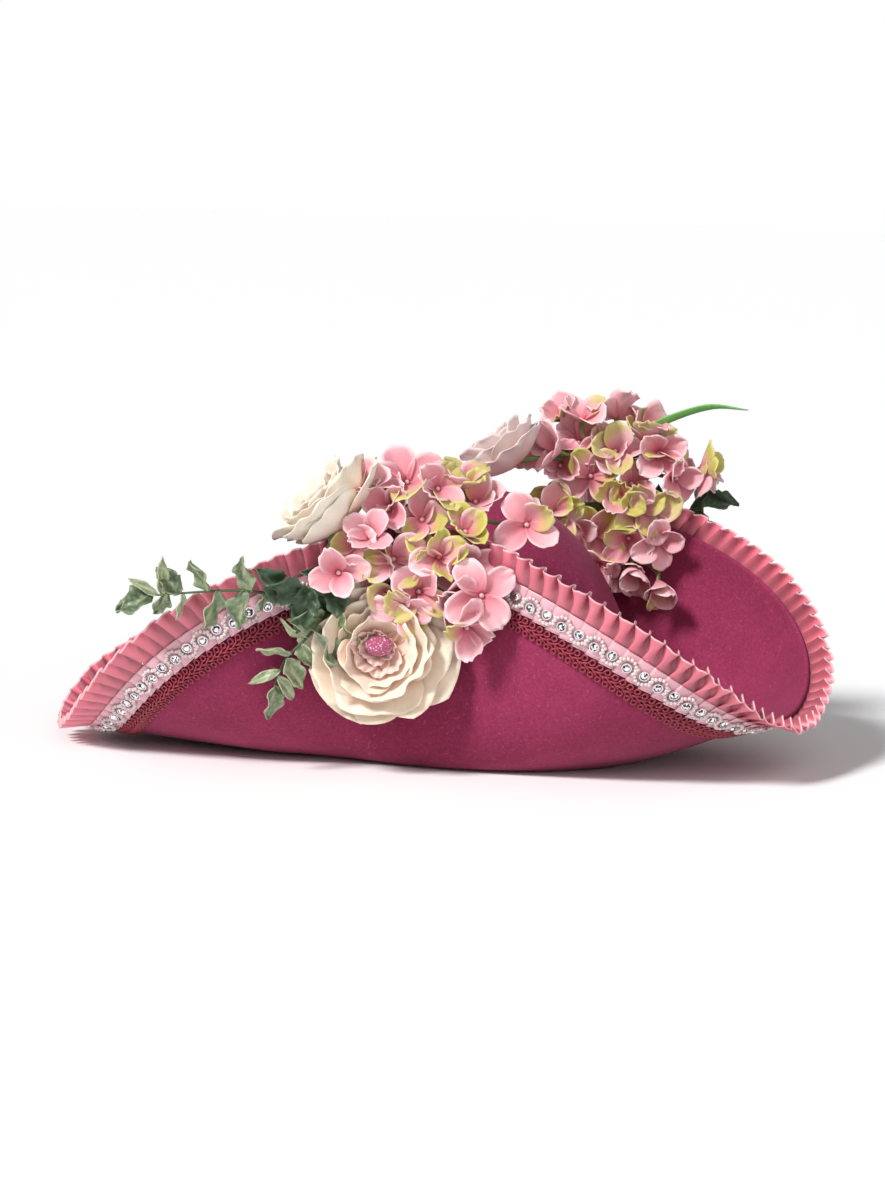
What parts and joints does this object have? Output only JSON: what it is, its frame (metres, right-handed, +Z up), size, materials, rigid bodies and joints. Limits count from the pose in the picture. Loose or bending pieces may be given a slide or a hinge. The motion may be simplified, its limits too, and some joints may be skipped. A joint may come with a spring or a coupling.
{
  "type": "tricorn hat",
  "caption": "Felt tricorn hat with a round crown, three turned-up brim flaps, a pleated ribbon edge, a pearl and stone band, a scroll braid and two flower sprays.",
  "frame": {"origin": "middle of the hat's bounding box, on the surface that it stands on", "axes": "+Z up through the crown, -Y towards the front point, +X towards the wearer's left flap as worn"},
  "size_m": [0.3882, 0.375, 0.178],
  "materials": {
    "felt": "matt blocked felt, dusky raspberry",
    "ruffle_ribbon": "satin ribbon with a looped edge, salmon pink",
    "pearl_ribbon": "pale pink satin ribbon with clear stones in silver cups and seed pearls",
    "gimp": "glossy scroll braid, crimson",
    "peony_petals": "cloth petals, cream to blush",
    "pale_petals": "thin cloth petals, pale blush",
    "hydrangea_petals": "cloth petals, pink and yellow green",
    "variegated_leaves": "waxed cloth leaves, grey green",
    "dark_leaves": "waxed cloth leaves, dark green",
    "grass": "moulded grass blade, mid green"
  },
  "bodies": {
    "root": {"felt_body": "felt", "ruffle": "ruffle_ribbon", "pearl_trim": "pearl_ribbon", "gimp_braid": "gimp", "peony_front": "peony_petals", "peony_upper": "peony_petals", "peony_pale": "pale_petals", "hydrangea_near": "hydrangea_petals", "hydrangea_far": "hydrangea_petals", "sprig_upper": "variegated_leaves", "sprig_lower": "variegated_leaves", "leaves_far": "dark_leaves", "grass_blade": "grass"}
  },
  "joints": []
}
